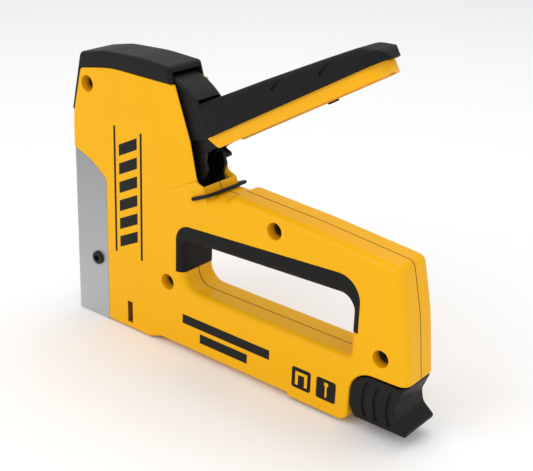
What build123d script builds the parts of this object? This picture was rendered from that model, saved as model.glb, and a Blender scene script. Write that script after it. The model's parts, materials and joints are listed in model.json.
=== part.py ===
"""Manual staple gun: two moulded half shells, a hinged lever that lifts a sprung hammer, and a
rear-loading magazine with a pull-out pusher. Millimetres; +X runs from the nose to the rear,
+Z is up, and the origin is at the nose's bottom, in the middle of its steel front."""

import os
from math import cos, radians, sin

from build123d import *

os.makedirs("parts", exist_ok=True)

# Driving dimensions ------------------------------------------------------------------------
HALF = 13.4  # half the body's width
WALL = 2.6  # moulding wall
INNER = HALF - WALL  # half the width of the hollow inside
FIT = 0.1  # gap between pieces that sit in each other
RUN = 0.05  # radial running clearance
PLATE, NOSE_HALF = 1.3, 13.3  # steel nose plate, thickness and half width

LEVER_ANGLE = 30.5  # the open lever's slope
PIVOT = (59.3, 115.3)  # lever pivot, x and z
PIVOT_R = 3.0
COVER_R = 43.5  # root cover, round the pivot
CHANNEL_HALF, SHEET = 10.25, 1.8
ARM_OUT, ARM_IN = 8.4, 6.4  # lever arms, half widths
GRIP_HALF = 11.6
CHANNEL_END, GRIP_END = 156.3, 159.4  # tips of the lever, from the pivot
TIP = (19.1, 106.6)  # lifting tips of the arms
LIFT_PIN = (18.8, 112.9)
HOOK_PIN, HOOK_NOSE = (92.0, 121.0), (103.2, 119.7)

SCREWS = ((11.2, 141.6), (72.4, 40.1), (146.0, 92.4), (213.9, 45.3))
BOSS_R, BORE_R, BORE_FLOOR = 6.2, 4.6, 5.0
SCREW_R, HEAD_R, HEAD_H = 2.0, 3.5, 3.4
NOSE_SCREW = (17.0, 37.8)

BAIL_PIVOT = (91.5, 95.1)
BAIL_END = (104.2, 100.8)
BAIL_HALF, WIRE_R = 14.6, 1.0

SADDLE = 99.4  # top of the body behind the head
FLOOR, DECK = 6.2, 21.7  # magazine trough, bottom and top
TROUGH = 7.1  # half width of the magazine trough
SPRING_X, SPRING_R = 30.4, 4.9  # main spring's axis and mean radius
SEAT_LOW, SEAT_HIGH = 100.0, 147.0  # what the main spring stands between
RAIL_HALF, RAIL_TOP = 4.4, 18.2
ROD_Z, ROD_R = 12.3, 1.2
KNOB_X = 197.6

CROWN_R, GROOVE = 4.5, 0.7  # the grip's rounding, and its grooves' depth

SIDE = Plane.XZ  # side view; its normal points to -Y
LEVER = Plane(
    origin=(PIVOT[0], 0, PIVOT[1]),
    x_dir=(cos(radians(LEVER_ANGLE)), 0, sin(radians(LEVER_ANGLE))),
    z_dir=(0, -1, 0),
)


LEVER_TOP = Plane(origin=LEVER.origin, x_dir=LEVER.x_dir, z_dir=LEVER.y_dir)


# Helpers -----------------------------------------------------------------------------------
def face(*corners, mode=Mode.ADD):
    """Closed face in the current sketch; a corner is (x, y) or (x, y, rounding radius)."""
    with BuildLine() as edge:
        FilletPolyline(
            *[corner[:2] for corner in corners],
            radius=[corner[2] if len(corner) > 2 else 0 for corner in corners],
            close=True,
        )
    make_face(edge.edges(), mode=mode)


def plate(low, high, *corners, plane=SIDE, mode=Mode.ADD):
    """Piece with this side-view outline, between two y values."""
    with BuildSketch(plane.offset(-high)) as outline:
        face(*corners)
    extrude(outline.sketch, amount=high - low, mode=mode)


def block(low, high, mode=Mode.ADD):
    """Box between two opposite corners."""
    with Locations(tuple((a + b) / 2 for a, b in zip(low, high))):
        Box(*[b - a for a, b in zip(low, high)], mode=mode)


def pin(place, radius, low, high, mode=Mode.ADD):
    """Round bar along Y at an x, z place, between two y values."""
    with Locations((place[0], (low + high) / 2, place[1])):
        Cylinder(radius, high - low, rotation=(90, 0, 0), mode=mode)


def coil(place, length, radius, wire, pitch):
    """Round-wire spring that starts at this place and runs along its z."""
    with BuildLine() as path:
        Helix(pitch=pitch, height=length, radius=radius)
    with BuildSketch(Plane(origin=path.line @ 0, z_dir=path.line % 0)) as section:
        Circle(wire)
    spring = sweep(section.sketch, path=path.line, is_frenet=True, mode=Mode.PRIVATE)
    add(place * spring)


def keep(piece, name):
    """Label the finished piece and write it to its own STEP file."""
    piece.part.label = name
    export_step(piece.part, f"parts/{name}.step")


def side_edges(part, y, low=(-9, -9), high=(999, 999)):
    """Edges that lie in the plane at y, with their middle inside an x, z window."""
    found = part.edges().filter_by_position(Axis.Y, y - 0.01, y + 0.01)
    return found.filter_by(
        lambda e: low[0] < (e @ 0.5).X < high[0] and low[1] < (e @ 0.5).Z < high[1]
    )


# Outlines ----------------------------------------------------------------------------------
BODY = (
    (0.7, 0),
    (0.7, 102.6),
    (-1.95, 102.6),
    (-1.95, 114, 40),
    (-1.4, 124.6),
    (0.15, 124.6),
    (6.4, 149.7, 3),
    (30, 154, 80),
    (77, 153.3),
    (87.9, 125.5, 30),
    (92.4, 107, 6),
    (93.4, 104.4, 2),
    (97.9, 102.9, 1.8),
    (99.3, SADDLE),
    (112.5, SADDLE, 3),
    (116.5, 102.6, 4),
    (165, 100, 200),
    (219.8, 95, 5),
    (226, 68, 120),
    (230, 33.8),
    (197.2, 33.0, 13),
    (196.9, 1.6, 6),
    (158.6, 1.6),
    (157.9, 3.5),
    (67, 3.5),
    (58, 0),
)
OPENING = (
    (83.75, 38.7, 9.5),
    (83.75, 48.7),
    (78.65, 48.7),
    (78.65, 77.2, 10),
    (199.9, 83.6, 13),
    (199.9, 54),
    (195.25, 54),
    (195.25, 38.7, 3),
)
HOLLOW = (
    (3.4, 24.3),
    (3.4, 146, 3),
    (8, 150.8, 3),
    (50.5, 150.8),
    (50.5, 170),
    (106, 170),
    (106, 104),
    (97.5, 104),
    (97.5, 96.6),
    (114, 96.6),
    (119, 99.6, 3),
    (165, 97.2, 200),
    (217.6, 92.3, 4),
    (223.3, 67.6, 120),
    (227, 37),
    (199, 36.5, 6),
    (194, 31, 4),
    (194, 24.3),
)
NOSE = ((-0.75, 0), (24.9, 0), (24.65, 88.6, 4), (13.3, 97.0, 20), (-0.75, 102.3))
NOSE_SEAT = ((-1, -1), (25.2, -1), (24.95, 88.8, 4), (13.4, 97.3, 20), (-1, 102.6))

# Housing -----------------------------------------------------------------------------------
REAR_EDGE = Vector(15.4, 0, -46.3).normalized()  # slope of the head's open rear edge
ACROSS = Vector(46.3, 0, 15.4).normalized()
with BuildPart() as relief:
    # shallow facet that thins the head towards that edge, and ends above the saddle
    with BuildSketch(Plane((77, -HALF, 153.3), x_dir=ACROSS, z_dir=REAR_EDGE)) as facet:
        face((-27, 0), (0, -0.6), (8, -0.8), (8, 2), (-27, 2))
    extrude(facet.sketch, amount=80, both=True)
    plate(
        -20, 0, (40, 79.2), (92.8, 105.3), (104, 105.3), (104, 170), (40, 170),
        mode=Mode.INTERSECT,
    )

with BuildPart() as half_shell:
    with BuildSketch(SIDE):
        face(*BODY)
        face(*OPENING, mode=Mode.SUBTRACT)
    extrude(amount=HALF)
    grip_edge = side_edges(half_shell, -HALF, (112.6, 85), (231, 103))
    grip_edge += side_edges(half_shell, -HALF, (220, 36), (231, 85))
    fillet(grip_edge, 5.5)
    fillet(side_edges(half_shell, -HALF, (84, 36), (196, 48)), 4.5)
    # head's front, foot and underside
    fillet(side_edges(half_shell, -HALF, (-3, 103), (5.5, 124.5)), 2.2)
    fillet(side_edges(half_shell, -HALF, (26, -1), (197.5, 9)), 1.6)
    # fine groove along the seam
    chamfer(side_edges(half_shell, 0), 0.25)
    add(relief.part, mode=Mode.SUBTRACT)
    # hollow inside, with a wall round the finger opening and bosses for the screws
    with BuildSketch(SIDE) as hollow:
        face(*HOLLOW)
        with BuildSketch(mode=Mode.PRIVATE) as opening_wall:
            face(*OPENING)
            offset(amount=WALL)
        add(opening_wall.sketch, mode=Mode.SUBTRACT)
        with Locations(*SCREWS):
            Circle(BOSS_R, mode=Mode.SUBTRACT)
    extrude(amount=INNER, mode=Mode.SUBTRACT)
    # magazine trough, open at the rear, and the driver's slot, open at the bottom
    block((3.4, -TROUGH, FLOOR), (200, 0, DECK), mode=Mode.SUBTRACT)
    block((0.45, -6, -1), (3.5, 0, 132), mode=Mode.SUBTRACT)
    block((40.6, -HALF - 1, 4.2), (44.6, -TROUGH + 1, 17.5), mode=Mode.SUBTRACT)
    # the open rear edge is thinned from inside
    thin_edge = side_edges(half_shell, -INNER, (76, 108), (93, 152))
    chamfer(thin_edge, 1.5)
    # seat for the steel nose plate
    plate(-HALF - 1, -11.95, *NOSE_SEAT, mode=Mode.SUBTRACT)
    # boss for the nose screw, hammer guides, bumper shelf and spring-seat ledge
    pin(NOSE_SCREW, 4.6, -INNER - 0.1, -6.2)
    pin(NOSE_SCREW, SCREW_R + RUN, -HALF, -7.2, mode=Mode.SUBTRACT)
    block((3.3, -INNER - 0.1, 84), (12.5, -5.9, 134))
    block((3.4, -INNER - 0.1, 81), (40, 0, 84))
    block((44.2, -INNER - 0.1, 144), (46.5, -9.2, 151))
    block((20, -INNER - 0.1, SEAT_HIGH - 0.9), (44, -7.0, SEAT_HIGH - 0.05))
    pin(PIVOT, 6.5, -INNER - 0.1, -8.8)
    pin(PIVOT, PIVOT_R + RUN, -12.3, 0, mode=Mode.SUBTRACT)
    pin(BAIL_PIVOT, WIRE_R + RUN, -HALF - 1, -INNER + 0.1, mode=Mode.SUBTRACT)

with BuildPart() as left_shell:
    add(half_shell.part)
    for place in SCREWS:
        pin(place, BORE_R, -HALF - 1, -BORE_FLOOR, mode=Mode.SUBTRACT)
        pin(place, SCREW_R + FIT, -HALF, 1, mode=Mode.SUBTRACT)
keep(left_shell, "left_shell")

with BuildPart() as right_shell:
    mirror(half_shell.part, about=Plane.XZ)
    for place in SCREWS:
        pin(place, SCREW_R + RUN, -1, 7.5, mode=Mode.SUBTRACT)
keep(right_shell, "right_shell")

with BuildPart() as shell_screws:
    for place in SCREWS:
        pin(place, HEAD_R, -BORE_FLOOR - HEAD_H, -BORE_FLOOR)
        pin(place, SCREW_R, -BORE_FLOOR, 6.5)
    # hexagonal sockets
    with BuildSketch(SIDE.offset(BORE_FLOOR + HEAD_H)) as sockets:
        with Locations(*SCREWS):
            RegularPolygon(1.7, 6)
    extrude(sockets.sketch, amount=-2, mode=Mode.SUBTRACT)
keep(shell_screws, "shell_screws")

with BuildPart() as nose_plate:
    block((-0.75, -NOSE_HALF, 0), (-0.75 + PLATE, NOSE_HALF, 102.3))
    plate(-NOSE_HALF, -NOSE_HALF + PLATE, *NOSE)
    plate(NOSE_HALF - PLATE, NOSE_HALF, *NOSE)
    front = nose_plate.edges().filter_by(Axis.Z).group_by(Axis.X)[0]
    fillet(front, 1.2)
    pin(NOSE_SCREW, SCREW_R + FIT, -14, -11, mode=Mode.SUBTRACT)
keep(nose_plate, "nose_plate")

with BuildPart() as nose_screw:
    pin(NOSE_SCREW, 4.0, -15.1, -13.3)
    fillet(nose_screw.edges().group_by(Axis.Y)[0], 0.8)
    pin(NOSE_SCREW, SCREW_R, -13.3, -7.5)
    with BuildSketch(Plane.XZ.offset(15.1)) as nose_socket:
        with Locations(NOSE_SCREW):
            RegularPolygon(2.0, 6)
    extrude(nose_socket.sketch, amount=-1.6, mode=Mode.SUBTRACT)
keep(nose_screw, "nose_screw")

with BuildPart() as top_cap:
    plate(
        -HALF, HALF, (-1.4, 124.75), (6.2, 158.6), (22, 162.0, 60), (50, 163.4, 120),
        (72.3, 162.3, 2.5), (75.2, 153.5), (30, 154.15, 80), (6.3, 149.85, 3), (0.05, 124.75),
    )
    rims = side_edges(top_cap, -HALF, (6.3, 155)) + side_edges(top_cap, HALF, (6.3, 155))
    fillet(rims, 2.4)
    front = side_edges(top_cap, -HALF, (-2, 126), (4, 154))
    front += side_edges(top_cap, HALF, (-2, 126), (4, 154))
    fillet(front, 0.7)
    plate(
        -INNER, INNER, (9, 145), (9, 157.0, 2), (20, 159.3, 3), (80, 159.3), (80, 145),
        mode=Mode.SUBTRACT,
    )
keep(top_cap, "top_cap")

with BuildPart() as grip_insert:
    plate(
        -HALF, HALF, (78.75, 48.8), (78.75, 77.1, 10), (199.8, 83.5, 13), (199.8, 54.1),
        (195.35, 54.1), (195.35, 71.9, 8), (83.85, 67.8, 5), (83.85, 48.8),
    )
    inside = side_edges(grip_insert, -HALF, (83.5, 48.9), (196, 73))
    inside += side_edges(grip_insert, HALF, (83.5, 48.9), (196, 73))
    fillet(inside, 4)
keep(grip_insert, "grip_insert")

with BuildPart() as lever_pivot_pin:
    pin(PIVOT, PIVOT_R, -12.2, 12.2)
    chamfer(lever_pivot_pin.edges(), 0.3)
keep(lever_pivot_pin, "lever_pivot_pin")

with BuildPart() as lever_return_spring:
    coil(Location((PIVOT[0], 4.6, PIVOT[1]), (90, 0, 0)), 9.2, 6.3, 0.7, 1.84)
keep(lever_return_spring, "lever_return_spring")

with BuildPart() as main_spring:
    foot = Location((SPRING_X, 0, SEAT_LOW + 1.2))
    coil(foot, SEAT_HIGH - SEAT_LOW - 2.4, SPRING_R, 1.0, 5.2)
keep(main_spring, "main_spring")

with BuildPart() as spring_seat:
    block((20, -10.6, SEAT_HIGH), (44, 10.6, 150.7))
    with Locations((SPRING_X, 0, SEAT_HIGH - 3)):
        Cylinder(3.4, 6)
keep(spring_seat, "spring_seat")

with BuildPart() as hammer_bumper:
    block((5, -5.3, 84.05), (36, 5.3, 89.7))
    fillet(hammer_bumper.edges().filter_by(Axis.Z), 1.5)
keep(hammer_bumper, "hammer_bumper")

with BuildPart() as blade_guide:
    block((2.35, -5.9, 24.5), (3.45, 5.9, 80))
keep(blade_guide, "blade_guide")

with BuildPart() as magazine_channel:
    block((3.6, -7, FLOOR + FIT), (194, 7, DECK - FIT))
    block((0, -6, 0), (200, 6, 20.5), mode=Mode.SUBTRACT)
    chamfer(magazine_channel.edges().filter_by(Axis.X).group_by(Axis.Z)[-1], 0.6)
keep(magazine_channel, "magazine_channel")

with BuildPart() as magazine_rail:
    block((3.8, -RAIL_HALF, FLOOR + FIT), (193, RAIL_HALF, RAIL_TOP))
    block((0, -RAIL_HALF + 1, FLOOR + FIT + 1), (200, RAIL_HALF - 1, 30), mode=Mode.SUBTRACT)
    # feet that tie it into the channel
    for x in (5, 185):
        block((x, -5.95, FLOOR + FIT), (x + 7, 5.95, FLOOR + FIT + 1))
keep(magazine_rail, "magazine_rail")

# Hammer ------------------------------------------------------------------------------------
with BuildPart() as hammer:
    plate(
        -5.5, 5.5, (3.7, 90, 1), (3.7, 116, 1), (24, 116, 1), (24, SEAT_LOW, 2),
        (38, SEAT_LOW, 1), (38, 95, 2), (30, 90, 2),
    )
    with Locations((SPRING_X, 0, SEAT_LOW + 3)):
        Cylinder(3.4, 6)
    pin(LIFT_PIN, 2.5 + RUN, -6, 6, mode=Mode.SUBTRACT)
    # nub that the driver hangs on
    with Locations((2.4, 0, 105)):
        Cylinder(2.5, 2.8, rotation=(0, 90, 0))
keep(hammer, "hammer")

with BuildPart() as driver_blade:
    block((0.85, -5.5, 1), (2.05, 5.5, 108.6))
    with Locations((1.5, 0, 105)):
        Cylinder(2.5 + RUN, 4, rotation=(0, 90, 0), mode=Mode.SUBTRACT)
keep(driver_blade, "driver_blade")

with BuildPart() as lift_pin:
    pin(LIFT_PIN, 2.5, -9, 9)
    chamfer(lift_pin.edges(), 0.4)
keep(lift_pin, "lift_pin")

# Lever -------------------------------------------------------------------------------------
def lever_profile(half, low, end, root, mode=Mode.ADD):
    """Round-ended strip from the root to the end of the lever, from one height upwards."""
    with BuildSketch(LEVER_TOP.offset(low)) as plan:
        with Locations(((root + end - half) / 2, 0)):
            Rectangle(end - half - root, 2 * half)
        with Locations((end - half, 0)):
            Circle(half)
    extrude(plan.sketch, amount=40, mode=mode)


def on_lever(edge):
    """Lengthwise and upright place of an edge's middle, from the pivot."""
    place = LEVER.to_local_coords(edge @ 0.5)
    return place.X, place.Y


# what the channel's hollow takes away
with BuildPart() as trough:
    plate(
        -CHANNEL_HALF, CHANNEL_HALF, (30, -20), (CHANNEL_END, -20), (CHANNEL_END, -9.5, 2),
        (CHANNEL_END - 8.8, -4.7, 6), (CHANNEL_END - 16.7, -2.7, 8), (30, -2.7), plane=LEVER,
    )
    lever_profile(CHANNEL_HALF - SHEET, -20, CHANNEL_END - SHEET, 28, mode=Mode.INTERSECT)

with BuildPart() as lever_channel:
    # web under the grip, and a flange that runs down the sides and round the end
    plate(
        -CHANNEL_HALF, CHANNEL_HALF, (40.2, -7.55), (45.1, -14.4, 3), (CHANNEL_END, -14.2, 4),
        (CHANNEL_END, -7.7, 2), (CHANNEL_END - 8.2, -2.9, 6), (CHANNEL_END - 16.2, -1, 8),
        (47.8, -1), (46.6, -7.55), plane=LEVER,
    )
    lever_profile(CHANNEL_HALF, -20, CHANNEL_END, 30, mode=Mode.INTERSECT)
    add(trough.part, mode=Mode.SUBTRACT)
keep(lever_channel, "lever_channel")

# what the channel takes out of the grip over it
with BuildPart() as bed:
    plate(
        -GRIP_HALF, GRIP_HALF, (30, -20), (CHANNEL_END + FIT, -20),
        (CHANNEL_END + FIT, -7.6, 2), (CHANNEL_END - 8.1, -2.7, 6),
        (CHANNEL_END - 16.1, -0.9, 8), (30, -0.9), plane=LEVER,
    )
    lever_profile(CHANNEL_HALF + FIT, -20, CHANNEL_END + FIT, 28, mode=Mode.INTERSECT)

with BuildPart() as lever_grip:
    # moulded rubber over the channel
    plate(
        -GRIP_HALF, GRIP_HALF, (40, -7.5), (40, 10.6), (55, 9.6, 20), (90, 7.3, 200),
        (128, 4.3, 200), (GRIP_END - 11, 2.4, 14), (GRIP_END - 2, -2.6, 5), (GRIP_END, -7.5),
        plane=LEVER,
    )
    crown = lever_grip.edges().filter_by(
        lambda e: abs((e @ 0.5).Y) > 3 and on_lever(e)[1] > -6.9 and on_lever(e)[0] > 40.5
    )
    fillet(crown, CROWN_R)
    lever_profile(GRIP_HALF, -20, GRIP_END, 30, mode=Mode.INTERSECT)
    # root that fits round the cover, and a bed for the channel
    with BuildSketch(LEVER.offset(-20)) as root:
        Circle(COVER_R + FIT)
    extrude(root.sketch, amount=40, mode=Mode.SUBTRACT)
    add(bed.part, mode=Mode.SUBTRACT)
    # two slanted finger grooves down each side
    for u, v in ((93.8, 0.5), (123.9, -2.4)):
        for low, high in ((-GRIP_HALF - 1, GROOVE - GRIP_HALF), (GRIP_HALF - GROOVE, GRIP_HALF + 1)):
            plate(
                low, high, (u, v), (u + 20, v + 7.4), (u + 18.8, v + 8.6), (u - 0.4, v + 1.5),
                plane=LEVER, mode=Mode.SUBTRACT,
            )
keep(lever_grip, "lever_grip")

with BuildPart() as lever_bumper:
    # small rubber stop under the far flange
    plate(
        8.6, 10.1, (106.7, -15.1, 0.5), (113.1, -15.1, 0.5), (113.1, -14.35),
        (106.7, -14.35), plane=LEVER,
    )
keep(lever_bumper, "lever_bumper")

COVER_PLANE = Plane(origin=(PIVOT[0], 0, PIVOT[1]), x_dir=(1, 0, 0), z_dir=(0, -1, 0))
with BuildPart() as lever_root_cover:
    # roof that stays round the pivot, and a cheek down each side
    with BuildSketch(COVER_PLANE.offset(-10.3)) as ring:
        Circle(COVER_R)
        Circle(COVER_R - 2, mode=Mode.SUBTRACT)
        face((0, 0), (80, 86.3), (0, 100), (-12.3, 100), mode=Mode.INTERSECT)
    extrude(ring.sketch, amount=20.6)
    with BuildSketch(COVER_PLANE.offset(-10.3)) as cheek:
        Circle(COVER_R)
        Circle(27, mode=Mode.SUBTRACT)
        face((0, 0), (75, 27), (80, 86.3), (0, 100), (-12.3, 100), mode=Mode.INTERSECT)
    extrude(cheek.sketch, amount=1.8)
    extrude(Location((0, -18.8, 0)) * cheek.sketch, amount=1.8)
    plate(
        -11, 11, (39.9, -20), (39.9, -7.45), (60, -7.45), (60, -20),
        plane=LEVER, mode=Mode.SUBTRACT,
    )
    bend = lever_root_cover.edges().filter_by(
        lambda e: abs(abs((e @ 0.5).Y) - 10.3) < 0.01
        and abs(((e @ 0.5) - Vector(PIVOT[0], (e @ 0.5).Y, PIVOT[1])).length - COVER_R) < 0.01
    )
    fillet(bend, 1.7)
keep(lever_root_cover, "lever_root_cover")

with BuildPart() as left_lever_arm:
    with BuildSketch(SIDE.offset(ARM_IN)) as nose_of_arm:
        with Locations(PIVOT):
            Circle(9)
        with Locations(TIP):
            Circle(3)
        make_hull()
    extrude(nose_of_arm.sketch, amount=ARM_OUT - ARM_IN)
    plate(
        -ARM_OUT, -ARM_IN, (0, 8.9), (36, 3.4, 2), (41, -2.8), (84, -2.8, 3), (84, -11.5, 3),
        (46, -13, 20), (33, -14.2, 2), (30, -18, 3), (29.3, -22.5, 2), (24.5, -26.5, 2),
        (17, -27.5, 4), (3, -8), plane=LEVER,
    )
    pin(PIVOT, PIVOT_R + RUN, -10, 0, mode=Mode.SUBTRACT)
    rivets = [LEVER.from_local_coords((u, -6.2, 0)) for u in (55, 75)]
    for place in rivets:
        pin((place.X, place.Z), 2.0 + FIT, -10, 0, mode=Mode.SUBTRACT)
    pin(HOOK_PIN, 1.5 + FIT, -10, 0, mode=Mode.SUBTRACT)
keep(left_lever_arm, "left_lever_arm")

with BuildPart() as right_lever_arm:
    mirror(left_lever_arm.part, about=Plane.XZ)
keep(right_lever_arm, "right_lever_arm")

with BuildPart() as lever_rivets:
    for place in rivets:
        for side in (-1, 1):
            low, high = sorted((side * 5.2, side * 8.45))
            pin((place.X, place.Z), 2.0, low, high)
            low, high = sorted((side * 5.2, side * 6.4))
            pin((place.X, place.Z), 3.2, low, high)
keep(lever_rivets, "lever_rivets")

with BuildPart() as pivot_bush:
    pin(PIVOT, 5, -ARM_IN + RUN, ARM_IN - RUN)
    pin(PIVOT, PIVOT_R + RUN, -9, 9, mode=Mode.SUBTRACT)
keep(pivot_bush, "pivot_bush")

with BuildPart() as lock_hook:
    # latch plate whose nose comes down in front of the wire bail
    plate(
        -1.5, 1.5, (89, 118.6, 2.5), (94.6, 118.6, 2), (97.8, 120.9, 1), (103.2, 120.7),
        (103.4, 121.05), (95.5, 124.6, 2), (89, 124.6, 2.5),
    )
    pin(HOOK_NOSE, 1.4, -1.5, 1.5)
    pin(HOOK_PIN, 1.5 + FIT, -5, 5, mode=Mode.SUBTRACT)
keep(lock_hook, "lock_hook")

with BuildPart() as lock_hook_pin:
    pin(HOOK_PIN, 1.5, -8.35, 8.35)
keep(lock_hook_pin, "lock_hook_pin")

# Wire bail ---------------------------------------------------------------------------------
with BuildPart() as lock_bail:
    bail_plane = Plane(
        origin=(BAIL_PIVOT[0], 0, BAIL_PIVOT[1]),
        x_dir=(BAIL_END[0] - BAIL_PIVOT[0], 0, BAIL_END[1] - BAIL_PIVOT[1]),
        z_dir=(BAIL_PIVOT[1] - BAIL_END[1], 0, BAIL_END[0] - BAIL_PIVOT[0]),
    )
    reach = Vector(BAIL_END[0] - BAIL_PIVOT[0], BAIL_END[1] - BAIL_PIVOT[1]).length
    with BuildLine(bail_plane) as wire:
        FilletPolyline(
            (0, -11), (0, -BAIL_HALF), (reach, -BAIL_HALF), (reach, BAIL_HALF),
            (0, BAIL_HALF), (0, 11), radius=(1.1, 2, 2, 1.1),
        )
    with BuildSketch(Plane(origin=wire.line @ 0, z_dir=wire.line % 0)) as wire_end:
        Circle(WIRE_R)
    sweep(wire_end.sketch, path=wire.line)
keep(lock_bail, "lock_bail")

# Magazine pull -----------------------------------------------------------------------------
with BuildPart() as magazine_knob:
    plate(
        -13.2, 13.2, (200.6, 7.2, 2.5), (KNOB_X, 13.5, 3), (KNOB_X, 32.5, 12.3),
        (228.2, 32.6, 1.5), (224, 21.5, 6), (225.5, 15, 5), (231.9, 9.8, 1.2), (231.6, 7.4, 1.2),
    )
    rounds = side_edges(magazine_knob, -13.2) + side_edges(magazine_knob, 13.2)
    fillet(rounds, 0.9)
    # three curved grip grooves down each side
    for x in (207, 213.8, 221.4):
        with BuildSketch(SIDE.offset(12.4)) as groove:
            with BuildLine() as bow:
                ThreePointArc((x + 1, 29.5), (x - 1.2, 20), (x + 0.6, 10.5))
            trace(bow.line, line_width=2.2)
        for sketch in (groove.sketch, mirror(groove.sketch, about=Plane.XZ, mode=Mode.PRIVATE)):
            extrude(sketch, amount=3, mode=Mode.SUBTRACT)
    # plug that fills the magazine's mouth
    block((188, -3, 9.4), (KNOB_X + 1, 3, 15.2))
    block((KNOB_X - 3.2, -6.8, FLOOR + 0.5), (KNOB_X + 1, 6.8, DECK - 0.6))
    with Locations((191, 0, ROD_Z)):
        Cylinder(ROD_R + 0.02, 14, rotation=(0, 90, 0), mode=Mode.SUBTRACT)
keep(magazine_knob, "magazine_knob")

with BuildPart() as pusher_rod:
    with Locations(((6.5 + 197.5) / 2, 0, ROD_Z)):
        Cylinder(ROD_R, 191, rotation=(0, 90, 0))
keep(pusher_rod, "pusher_rod")

with BuildPart() as pusher:
    block((6, -5.6, 8), (16, 5.6, 20.2))
    block((0, -4.7, 0), (30, 4.7, 18.6), mode=Mode.SUBTRACT)
    block((6, -3, 9), (16, 3, 18.7))
    with Locations((11, 0, ROD_Z)):
        Cylinder(ROD_R + RUN, 40, rotation=(0, 90, 0), mode=Mode.SUBTRACT)
keep(pusher, "pusher")

with BuildPart() as pusher_spring:
    coil(Location((16.8, 0, ROD_Z), (0, 90, 0)), 170, 2.2, 0.4, 8.5)
keep(pusher_spring, "pusher_spring")
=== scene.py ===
"""Staple gun in the row frame, metres. CAD nodes keep their places; this adds finish and fine detail."""

import json
import math

import bpy
from mathutils import Matrix, Vector


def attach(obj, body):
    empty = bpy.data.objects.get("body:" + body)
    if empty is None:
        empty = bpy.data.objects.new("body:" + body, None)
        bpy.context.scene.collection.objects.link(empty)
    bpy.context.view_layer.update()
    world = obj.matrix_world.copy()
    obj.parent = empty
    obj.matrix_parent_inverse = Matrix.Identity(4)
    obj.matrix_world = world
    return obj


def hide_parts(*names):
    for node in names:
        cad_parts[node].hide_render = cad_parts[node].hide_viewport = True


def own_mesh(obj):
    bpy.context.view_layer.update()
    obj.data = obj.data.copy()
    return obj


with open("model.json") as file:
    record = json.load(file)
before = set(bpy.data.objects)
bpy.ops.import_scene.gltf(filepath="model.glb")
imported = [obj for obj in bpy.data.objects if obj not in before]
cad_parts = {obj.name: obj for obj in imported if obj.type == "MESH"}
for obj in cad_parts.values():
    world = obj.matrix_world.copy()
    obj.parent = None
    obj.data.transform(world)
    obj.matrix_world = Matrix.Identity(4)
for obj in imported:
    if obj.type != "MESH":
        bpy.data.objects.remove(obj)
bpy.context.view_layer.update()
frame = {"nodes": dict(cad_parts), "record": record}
nodes = frame["nodes"]

MM = 0.001
SHELL_HALF = 13.4  # mm, from the middle to a shell's flat side


# Materials ---------------------------------------------------------------------------------
def maths(tree, operation, *values):
    """Math node over numbers or other nodes' outputs."""
    made = tree.nodes.new("ShaderNodeMath")
    made.operation = operation
    for socket, value in zip(made.inputs, values):
        if isinstance(value, (int, float)):
            socket.default_value = value
        else:
            tree.links.new(value, socket)
    return made.outputs[0]


def in_box(tree, apart, low, high):
    """1 inside the box between two corners, in millimetres, and 0 outside."""
    mask = None
    for axis in range(3):
        middle, half = (low[axis] + high[axis]) / 2 * MM, (high[axis] - low[axis]) / 2 * MM
        test = maths(tree, "COMPARE", apart.outputs[axis], middle, half)
        mask = test if mask is None else maths(tree, "MULTIPLY", mask, test)
    return mask


def swap_where(tree, mask, colour, other):
    """Another plain colour wherever the mask is 1."""
    swap = tree.nodes.new("ShaderNodeMix")
    swap.data_type = "RGBA"
    swap.inputs["B"].default_value = (*other, 1)
    tree.links.new(mask, swap.inputs["Factor"])
    tree.links.new(colour, swap.inputs["A"])
    return swap.outputs["Result"]


def toned(tree, colour, share):
    """The colour scaled by a number from another node."""
    made = tree.nodes.new("ShaderNodeVectorMath")
    made.operation = "SCALE"
    tree.links.new(colour, made.inputs[0])
    tree.links.new(share, made.inputs["Scale"])
    return made.outputs["Vector"]


def shell_painted_shade(tree, where, colour):
    """Painted shade: a black hollow, a brown slot inside, a dark parting-line groove and darkening in
    the shells' corners.
    """
    apart = tree.nodes.new("ShaderNodeSeparateXYZ")
    tree.links.new(where.outputs["Object"], apart.inputs[0])
    leaned = maths(tree, "MULTIPLY_ADD", apart.outputs["Z"], HEAD_LEAN, apart.outputs["X"])
    before_shade_rear = maths(tree, "LESS_THAN", leaned, SHADE_REAR * MM)
    # painted shade: the hollow inside the shells is painted near-black, ahead of its leaning rear
    for low, high in SHADED_HOLLOWS:
        mask = maths(tree, "MULTIPLY", in_box(tree, apart, low, high), before_shade_rear)
        colour = swap_where(tree, mask, colour, HOLLOW_SHADE_TONE)
    # painted shade: the slot's inside is painted dark brown
    colour = swap_where(tree, in_box(tree, apart, *SLOT_SHADE_BOX), colour, SLOT_SHADE_TONE)
    # painted shade: the parting-line groove is painted dark brown
    colour = swap_where(tree, in_box(tree, apart, *SEAM_SHADE_BOX), colour, SEAM_SHADE_TONE)
    # painted shade: ambient occlusion darkens the colour in corners and creases
    near = tree.nodes.new("ShaderNodeAmbientOcclusion")
    near.samples = 8
    near.inputs["Distance"].default_value = SHADE_REACH * MM
    shade_ramp = tree.nodes.new("ShaderNodeMapRange")
    shade_ramp.inputs["From Max"].default_value = UNSHADED_ABOVE
    shade_ramp.inputs["To Min"].default_value = DARKEST_SHADE
    tree.links.new(near.outputs["AO"], shade_ramp.inputs["Value"])
    return toned(tree, colour, shade_ramp.outputs["Result"])


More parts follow.
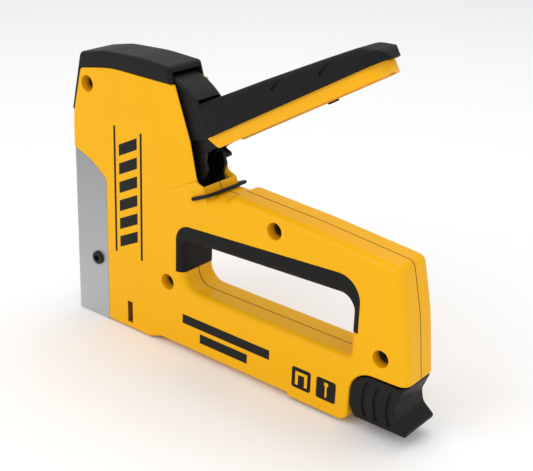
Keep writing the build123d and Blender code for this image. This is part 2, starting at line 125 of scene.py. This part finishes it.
def painted_floor_reflection(tree, where, colour, floor_reflection):
    """Painted floor reflection: tone that falls from the piece's foot to a height in metres, to a share
    of the colour.
    """
    height, share = floor_reflection
    apart = tree.nodes.new("ShaderNodeSeparateXYZ")
    tree.links.new(where.outputs["Object"], apart.inputs[0])
    reflection_ramp = tree.nodes.new("ShaderNodeMapRange")
    reflection_ramp.inputs["From Max"].default_value = height
    reflection_ramp.inputs["To Min"].default_value = 1.0
    reflection_ramp.inputs["To Max"].default_value = share
    tree.links.new(apart.outputs["Z"], reflection_ramp.inputs["Value"])
    return toned(tree, colour, reflection_ramp.outputs["Result"])


CLOUD_SCALE, MOTTLE_SCALE = 28.0, 160.0
GLOSS_SWING = 0.07  # roughness above and below the middle
GRAIN_HEIGHT = 0.0001


def finish(name, base, rough, metal=0.0, grain=900.0, depth=0.02, spread=0.06, vary=0.08,
           coat=0.0, stretch=(1, 1, 1), edge=0.0003, shine=0.5, painted_shade=None, floor_reflection=None):
    """Procedural finish: cloudy tint, mottled gloss, fine surface grain and softened edges."""
    mat = bpy.data.materials.new(name)
    mat.use_nodes = True
    tree = mat.node_tree
    tree.nodes.clear()
    link = tree.links.new
    out = tree.nodes.new("ShaderNodeOutputMaterial")
    skin = tree.nodes.new("ShaderNodeBsdfPrincipled")
    skin.inputs["Metallic"].default_value = metal
    skin.inputs["Coat Weight"].default_value = coat
    skin.inputs["Coat Roughness"].default_value = 0.18
    skin.inputs["Specular IOR Level"].default_value = shine
    link(skin.outputs[0], out.inputs["Surface"])
    where = tree.nodes.new("ShaderNodeTexCoord")
    place = tree.nodes.new("ShaderNodeMapping")
    place.inputs["Scale"].default_value = stretch
    link(where.outputs["Object"], place.inputs["Vector"])
    # slow change of tint over the piece
    cloud = tree.nodes.new("ShaderNodeTexNoise")
    cloud.inputs["Scale"].default_value = CLOUD_SCALE
    cloud.inputs["Detail"].default_value = 5.0
    link(where.outputs["Object"], cloud.inputs["Vector"])
    tint = tree.nodes.new("ShaderNodeMix")
    tint.data_type = "RGBA"
    tint.inputs["A"].default_value = (*[c * (1 - vary) for c in base], 1)
    tint.inputs["B"].default_value = (*[min(1, c * (1 + vary)) for c in base], 1)
    link(cloud.outputs["Fac"], tint.inputs["Factor"])
    # fine speckle
    speck = tree.nodes.new("ShaderNodeTexNoise")
    speck.inputs["Scale"].default_value = grain
    speck.inputs["Detail"].default_value = 3.0
    link(place.outputs["Vector"], speck.inputs["Vector"])
    dust = tree.nodes.new("ShaderNodeMix")
    dust.data_type = "RGBA"
    dust.blend_type = "OVERLAY"
    dust.inputs["Factor"].default_value = spread
    link(tint.outputs["Result"], dust.inputs["A"])
    link(speck.outputs["Color"], dust.inputs["B"])
    colour = dust.outputs["Result"]
    # painted shade, where a finish is given it
    if painted_shade:
        colour = painted_shade(tree, where, colour)
    # painted floor reflection, lighter towards the foot, where a finish is given it
    if floor_reflection:
        colour = painted_floor_reflection(tree, where, colour, floor_reflection)
    link(colour, skin.inputs["Base Color"])
    gloss = tree.nodes.new("ShaderNodeMapRange")
    gloss.inputs["To Min"].default_value = max(0.02, rough - GLOSS_SWING)
    gloss.inputs["To Max"].default_value = min(1, rough + GLOSS_SWING)
    # mottled gloss
    mid = tree.nodes.new("ShaderNodeTexNoise")
    mid.inputs["Scale"].default_value = MOTTLE_SCALE
    mid.inputs["Detail"].default_value = 6.0
    link(place.outputs["Vector"], mid.inputs["Vector"])
    link(mid.outputs["Fac"], gloss.inputs["Value"])
    link(gloss.outputs["Result"], skin.inputs["Roughness"])
    # softened edges and surface grain
    soft = tree.nodes.new("ShaderNodeBevel")
    soft.samples = 4
    soft.inputs["Radius"].default_value = edge
    bump = tree.nodes.new("ShaderNodeBump")
    bump.inputs["Strength"].default_value = depth * 10
    bump.inputs["Distance"].default_value = GRAIN_HEIGHT
    link(soft.outputs["Normal"], bump.inputs["Normal"])
    link(speck.outputs["Fac"], bump.inputs["Height"])
    link(bump.outputs["Normal"], skin.inputs["Normal"])
    return mat


# boxes in mm for painted shade. The hollow holds the lever's works, clear of the screws' bores, and its
# rear follows the lean of the head's open edge; its inside is painted dark as shade. The slot is the
# small one low on the nose.
SHADED_HOLLOWS = [((20, -10.85, 4), (66, 10.85, 87.5)), ((20, -10.85, 87.5), (110, 10.85, 153.5))]
HEAD_LEAN, SHADE_REAR = 0.333, 126
# the slot's box, where its inside is painted brown as shade
SLOT_SHADE_BOX = ((40.5, -13.35, 4.1), (44.7, 13.35, 17.6))
# the parting line's box, where the groove is painted dark as its shadow
SEAM_SHADE_BOX = ((-5, -0.3, -5), (240, 0.3, 200))
# colours of painted shade: the hollow, the slot's inside and the parting-line groove
HOLLOW_SHADE_TONE = (0.03, 0.027, 0.025)
SLOT_SHADE_TONE = (0.30, 0.11, 0.02)
SEAM_SHADE_TONE = (0.12, 0.05, 0.002)
# painted shade: the colour darkens where walls stand within its reach, in mm
SHADE_REACH = 4
UNSHADED_ABOVE, DARKEST_SHADE = 0.8, 0.5
MATS = {
    # the yellow shells carry painted shade in their hollow, slot, parting line and corners
    "yellow_shell": finish("yellow_shell", (0.87, 0.43, 0.001), 0.38, grain=1500, depth=0.012,
                           spread=0.03, vary=0.025, coat=0.03, edge=0.0005, shine=0.14,
                           painted_shade=shell_painted_shade),
    "yellow_paint": finish("yellow_paint", (0.86, 0.41, 0.001), 0.34, grain=1300, depth=0.012,
                           spread=0.03, vary=0.03, coat=0.05, edge=0.0004, shine=0.18),
    "black_plastic": finish("black_plastic", (0.0055, 0.005, 0.005), 0.5, grain=2600, depth=0.05,
                            spread=0.25, vary=0.12, edge=0.0005, shine=0.2),
    "grip_rubber": finish("grip_rubber", (0.0055, 0.005, 0.005), 0.6, grain=2000, depth=0.06,
                          spread=0.25, vary=0.14, edge=0.0005, shine=0.18),
    "black_steel": finish("black_steel", (0.008, 0.0075, 0.008), 0.42, metal=0.3, grain=1200,
                          depth=0.03, spread=0.2, vary=0.15, edge=0.0002, shine=0.25),
    # plain steel carries a painted floor reflection, lighter towards its foot
    "plain_steel": finish("plain_steel", (0.50, 0.51, 0.525), 0.45, metal=0.8, grain=700,
                          depth=0.012, spread=0.12, vary=0.05, stretch=(6, 6, 0.25), edge=0.0003,
                          floor_reflection=(0.12, 0.6)),
    "dark_screw": finish("dark_screw", (0.02, 0.02, 0.022), 0.34, metal=0.8, grain=1800,
                         depth=0.03, spread=0.15, vary=0.1, edge=0.0002),
    "spring_steel": finish("spring_steel", (0.42, 0.43, 0.44), 0.3, metal=0.95, grain=1500,
                           depth=0.02, spread=0.1, vary=0.08, edge=0.0001),
}
slots = {s["node"]: s["material_slot"] for s in frame["record"]["subparts"]}
for name, piece in nodes.items():
    piece.data.materials.clear()
    piece.data.materials.append(MATS[slots[name]])


# Springs -----------------------------------------------------------------------------------
def working_coil(node, body):
    """Stands for a CAD spring with a copy of its mesh, attached to a body; the CAD part is hidden."""
    made = bpy.data.objects.new(f"{node}_coil", nodes[node].data.copy())
    bpy.context.collection.objects.link(made)
    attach(made, body)
    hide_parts(node)
    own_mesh(made)


working_coil("main_spring", "housing")
working_coil("pusher_spring", "magazine")


# Printed marks -----------------------------------------------------------------------------
INK = (-0.02, 0.04)  # mm, the film's foot and face from the shell's side


def mark(name, outlines, side):
    """Ink laid on a shell's flat side: a thin film for each x, z outline in mm."""
    y = side * SHELL_HALF * MM
    points, faces = [], []
    for outline in outlines:
        start, count = len(points), len(outline)
        for depth in INK:
            points += [(x * MM, y + side * depth * MM, z * MM) for x, z in outline]
        front = [start + count + i for i in range(count)]
        ring = [start + i for i in range(count)]
        faces += [front, ring[::-1]]
        for i in range(count):
            after = (i + 1) % count
            faces.append((ring[i], ring[after], front[after], front[i]))
    mesh = bpy.data.meshes.new(name)
    mesh.from_pydata(points, [], faces)
    mesh.update()
    made = bpy.data.objects.new(name, mesh)
    bpy.context.collection.objects.link(made)
    made.data.materials.append(MATS["black_plastic"])
    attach(made, "housing")


def strip(x0, z0, x1, z1):
    """Outline of an upright rectangle between two corners."""
    return [(x0, z0), (x1, z0), (x1, z1), (x0, z1)]


def framed(x, z, half, hole, cut=0.9):
    """Square with cut corners, in four pieces round an inner x, z rectangle."""
    x0, z0, x1, z1 = hole
    low, high, left, right = z - half, z + half, x - half, x + half
    return [
        [(left + cut, low), (x0, low), (x0, high),
         (left + cut, high), (left, high - cut), (left, low + cut)],
        [(x1, low), (right - cut, low), (right, low + cut),
         (right, high - cut), (right - cut, high), (x1, high)],
        strip(x0, z1, x1, high),
        strip(x0, low, x1, z0),
    ]


# two upright rules with plain slanted bars between them, and two plain stripes
rules = [strip(31.4, 46.7, 32.9, 122.1), strip(51.7, 46.7, 53.2, 122.1)]
BARS, FIRST, SLANT, BAR, STEP = 6, 50.2, 7.0, 6.6, 11.0
NEAR_X, FAR_X = 35.4, 49.4
bars = []
for k in range(BARS):
    foot = FIRST + STEP * k
    bars.append([(NEAR_X, foot), (FAR_X, foot + SLANT), (FAR_X, foot + SLANT + BAR),
                 (NEAR_X, foot + BAR)])
stripes = [strip(84.0, 18.6, 146.0, 24.2), strip(97.0, 10.4, 131.0, 16.0)]
# pictograms: a staple and a brad, each left bare in a dark square
BADGE_Z, BADGE_HALF = 15.4, 6.1
staple = framed(167.5, BADGE_Z, BADGE_HALF, (163.6, 11.2, 171.4, 19.2))
staple.append(strip(165.5, 11.2, 169.5, 17.4))
brad = framed(183.3, BADGE_Z, BADGE_HALF, (182.0, 11.0, 184.6, 19.6))
brad += [strip(182.0, 11.0, 182.7, 17.6), strip(183.9, 11.0, 184.6, 17.6)]
for side, tag in ((-1, "left"), (1, "right")):
    mark(f"{tag}_rules", rules + bars, side)
    mark(f"{tag}_stripes", stripes, side)
    mark(f"{tag}_pictograms", staple + brad, side)

# Room, lights and camera -------------------------------------------------------------------
REACH = 4  # metres from the middle of the floor to its sides
floor_mesh = bpy.data.meshes.new("floor")
floor_mesh.from_pydata(
    [(-REACH, -REACH, 0), (REACH, -REACH, 0), (REACH, REACH, 0), (-REACH, REACH, 0)],
    [], [(0, 1, 2, 3)],
)
floor = bpy.data.objects.new("floor", floor_mesh)
floor.location.z = -0.3 * MM
bpy.context.collection.objects.link(floor)
pale = bpy.data.materials.new("pale_floor")
pale.use_nodes = True
skin = pale.node_tree.nodes["Principled BSDF"]
skin.inputs["Base Color"].default_value = (0.97, 0.97, 0.97, 1)
skin.inputs["Roughness"].default_value = 0.9
floor_mesh.materials.append(pale)

world = bpy.data.worlds.new("studio")
bpy.context.scene.world = world
world.use_nodes = True
sky = world.node_tree.nodes["Background"]
sky.inputs["Color"].default_value = (1, 1, 1, 1)
sky.inputs["Strength"].default_value = 0.7


def lamp(name, place, aim, size, watts):
    """Round soft lamp turned towards a point."""
    data = bpy.data.lights.new(name, "AREA")
    data.shape = "DISK"
    data.size = size
    data.energy = watts
    made = bpy.data.objects.new(name, data)
    made.location = place
    made.rotation_mode = "QUATERNION"
    made.rotation_quaternion = (Vector(aim) - Vector(place)).to_track_quat("-Z", "Y")
    bpy.context.collection.objects.link(made)


CENTRE = (0.12, 0, 0.08)
lamp("key", (-0.25, -0.95, 0.9), CENTRE, 0.9, 4.6)
lamp("fill", (0.95, -0.5, 0.45), CENTRE, 0.8, 1.7)
lamp("top", (0.1, 0.45, 1.2), CENTRE, 1.2, 4.2)

# the eye looks at the target from the near right, a little from above
AZIMUTH, ELEVATION, ROLL = (math.radians(a) for a in (37.987, 23.375, 2.216))
TARGET = Vector((0.13068, 0, 0.08148))
DISTANCE, FOCAL_MM = 0.57631, 74.56
back = Vector((
    math.sin(AZIMUTH) * math.cos(ELEVATION),
    -math.cos(AZIMUTH) * math.cos(ELEVATION),
    math.sin(ELEVATION),
))
level = (-back).cross(Vector((0, 0, 1))).normalized()
upward = level.cross(-back)
right = math.cos(ROLL) * level + math.sin(ROLL) * upward
up = math.cos(ROLL) * upward - math.sin(ROLL) * level
eye = bpy.data.objects.new("camera", bpy.data.cameras.new("camera"))
eye.data.lens = FOCAL_MM
eye.data.sensor_width = 36
eye.data.sensor_fit = "HORIZONTAL"
eye.data.clip_start = 0.02
turn = Matrix((right, up, back)).transposed().to_4x4()
eye.matrix_world = Matrix.Translation(TARGET + back * DISTANCE) @ turn
bpy.context.collection.objects.link(eye)
bpy.context.scene.camera = eye
bpy.context.scene.view_settings.view_transform = "Standard"
